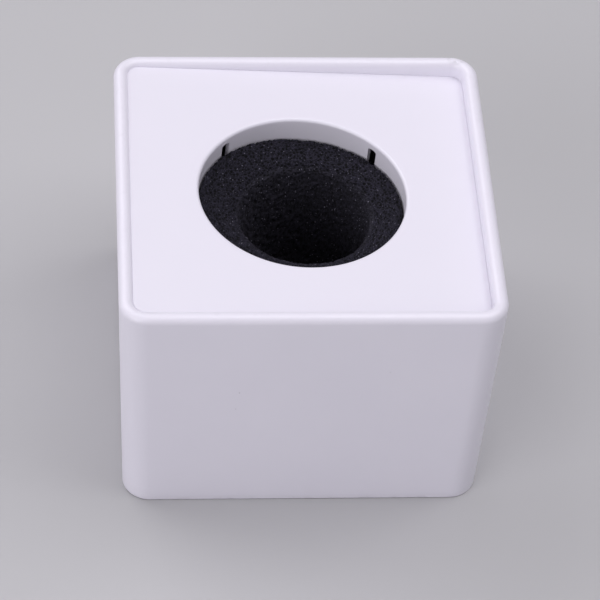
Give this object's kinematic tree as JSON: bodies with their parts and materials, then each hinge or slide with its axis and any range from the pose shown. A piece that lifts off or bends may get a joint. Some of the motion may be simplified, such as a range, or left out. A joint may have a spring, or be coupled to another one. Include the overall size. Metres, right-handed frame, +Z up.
{
  "type": "microphone flag",
  "caption": "Square tapered microphone flag with a recessed lid, a round handle passage with slotted collars, and a foam sleeve that grips the handle.",
  "frame": {"origin": "on the surface that the flag stands on, under the middle of the casing", "axes": "+Z up along the microphone's handle, from the closed base to the lid; -Y out of the front panel; +X towards the side where the lid sits lower"},
  "size_m": [0.0704, 0.0704, 0.0516],
  "materials": {
    "white_abs": "satin",
    "black_foam": "matte"
  },
  "bodies": {
    "shell": {"casing": "white_abs", "lid": "white_abs"},
    "sleeve": {"foam_sleeve": "black_foam"}
  },
  "joints": [
    {"name": "sleeve_pull", "type": "slide", "parent": "shell", "child": "sleeve", "axis": [0, 0, 1], "range_m": [0, 0.055]}
  ]
}
